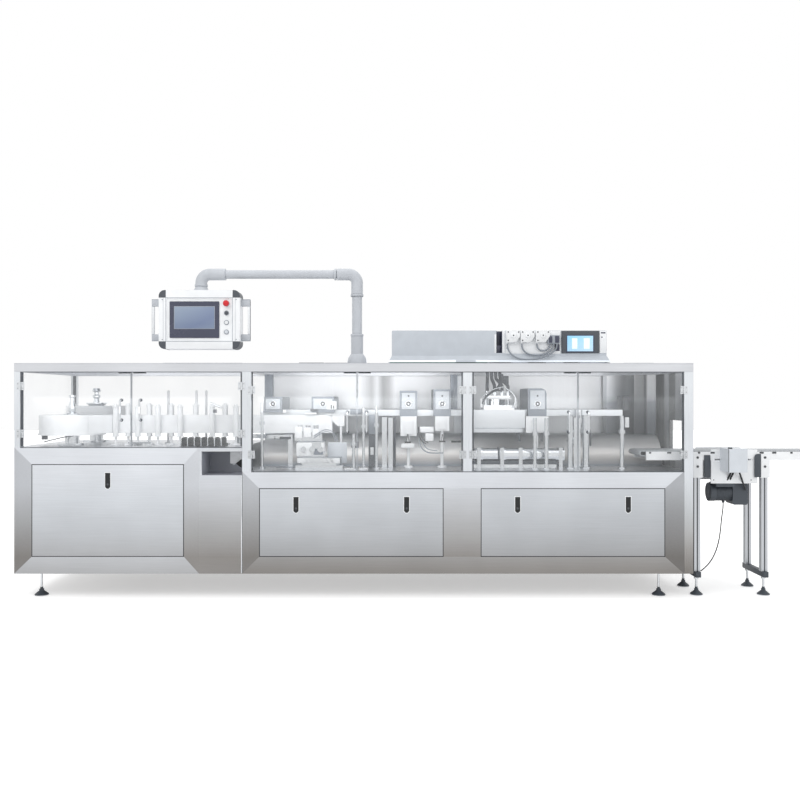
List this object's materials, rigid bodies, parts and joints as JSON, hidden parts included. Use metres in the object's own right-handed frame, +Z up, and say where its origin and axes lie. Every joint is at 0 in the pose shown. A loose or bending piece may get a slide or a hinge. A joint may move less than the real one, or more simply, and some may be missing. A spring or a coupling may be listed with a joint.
{
  "type": "sachet filling and sealing machine",
  "caption": "Horizontal sachet forming, filling and sealing machine in brushed stainless steel, with guarded bays, swivel operator panel, roof pump unit and outfeed conveyor.",
  "frame": {"origin": "on the floor, at the centre of the whole footprint", "axes": "+X along the machine towards the outfeed conveyor, +Y into the machine from the operator's side, +Z up"},
  "size_m": [5.312, 1.06, 2.094],
  "materials": {
    "brushed_steel": "satin",
    "polished_steel": "polished",
    "clear_pane": "gloss",
    "white_plastic": "matte",
    "black_plastic": "matte",
    "black_rubber": "matte",
    "film": "gloss",
    "grey_paint": "satin",
    "red_plastic": "gloss",
    "aluminium": "satin",
    "belt_plastic": "matte",
    "motor_paint": "satin",
    "hose_silicone": "matte"
  },
  "bodies": {
    "machine": {"arm_base": "grey_paint", "bay_walls": "brushed_steel", "bed_cover": "brushed_steel", "bed_drives": "white_plastic", "conveyor_belt": "belt_plastic", "conveyor_frame": "aluminium", "conveyor_legs": "aluminium", "conveyor_motor": "motor_paint", "door_catches": "black_plastic", "drive_heads": "brushed_steel", "filling_head": "polished_steel", "filling_hoses": "black_rubber", "film_web": "film", "gear_cover": "grey_paint", "guard_posts": "brushed_steel", "guide_rollers": "white_plastic", "hinge_leaves": "white_plastic", "infeed_cabinet": "brushed_steel", "levelling_feet": "black_rubber", "main_cabinet": "brushed_steel", "motor_cord": "black_rubber", "outfeed_shroud": "brushed_steel", "panel_latches": "black_plastic", "pump_display": "black_plastic", "pump_heads": "white_plastic", "pump_hose_left": "hose_silicone", "pump_hose_middle": "hose_silicone", "pump_hose_right": "hose_silicone", "pump_housing": "grey_paint", "roll_stands": "brushed_steel", "roof_plate": "brushed_steel", "sealing_jaws": "white_plastic", "service_panels": "brushed_steel", "side_windows": "clear_pane", "splice_grippers": "black_plastic", "station_shelf": "brushed_steel", "support_posts": "polished_steel", "top_rails": "brushed_steel"},
    "infeed_door_left": {"infeed_door_left": "clear_pane", "infeed_door_left_fittings": "polished_steel"},
    "infeed_door_right": {"infeed_door_right": "clear_pane", "infeed_door_right_fittings": "polished_steel"},
    "sealing_door_left": {"sealing_door_left": "clear_pane", "sealing_door_left_fittings": "polished_steel"},
    "sealing_door_right": {"sealing_door_right": "clear_pane", "sealing_door_right_fittings": "polished_steel"},
    "filling_door_left": {"filling_door_left": "clear_pane", "filling_door_left_fittings": "polished_steel"},
    "filling_door_right": {"filling_door_right": "clear_pane", "filling_door_right_fittings": "polished_steel"},
    "support_arm": {"support_arm": "grey_paint"},
    "operator_station": {"operator_panel": "white_plastic", "panel_corners": "black_plastic", "panel_handles": "grey_paint", "panel_display": "black_plastic", "panel_buttons": "red_plastic"},
    "front_roll": {"film_roll_front": "film", "roll_clamp_front": "polished_steel"},
    "rear_roll": {"film_roll_rear": "film", "roll_clamp_rear": "polished_steel"}
  },
  "joints": [
    {"name": "infeed_left_swing", "type": "hinge", "parent": "machine", "child": "infeed_door_left", "pos_m": [-2.6165, -0.4773, 1.18], "axis": [0, 0, -1], "range_deg": [0, 90]},
    {"name": "infeed_right_swing", "type": "hinge", "parent": "machine", "child": "infeed_door_right", "pos_m": [-1.2335, -0.4773, 1.18], "axis": [0, 0, 1], "range_deg": [0, 90]},
    {"name": "sealing_left_swing", "type": "hinge", "parent": "machine", "child": "sealing_door_left", "pos_m": [-1.1725, -0.4773, 1.105], "axis": [0, 0, -1], "range_deg": [0, 90]},
    {"name": "sealing_right_swing", "type": "hinge", "parent": "machine", "child": "sealing_door_right", "pos_m": [0.1485, -0.4773, 1.105], "axis": [0, 0, 1], "range_deg": [0, 90]},
    {"name": "filling_left_swing", "type": "hinge", "parent": "machine", "child": "filling_door_left", "pos_m": [0.2095, -0.4773, 1.105], "axis": [0, 0, -1], "range_deg": [0, 90]},
    {"name": "filling_right_swing", "type": "hinge", "parent": "machine", "child": "filling_door_right", "pos_m": [1.5305, -0.4773, 1.105], "axis": [0, 0, 1], "range_deg": [0, 90]},
    {"name": "arm_swivel", "type": "hinge", "parent": "machine", "child": "support_arm", "pos_m": [-0.522, -0.27, 1.542], "axis": [0, 0, 1], "range_deg": [-90, 90]},
    {"name": "panel_swivel", "type": "hinge", "parent": "support_arm", "child": "operator_station", "pos_m": [-1.531, -0.27, 1.948], "axis": [0, 0, 1], "range_deg": [-90, 90]},
    {"name": "front_roll_spin", "type": "hinge", "parent": "machine", "child": "front_roll", "pos_m": [-2.404, -0.17, 1.085], "axis": [0, 0, 1], "continuous": true},
    {"name": "rear_roll_spin", "type": "hinge", "parent": "machine", "child": "rear_roll", "pos_m": [-2.394, 0.268, 1.14], "axis": [0, 0, 1], "continuous": true}
  ]
}
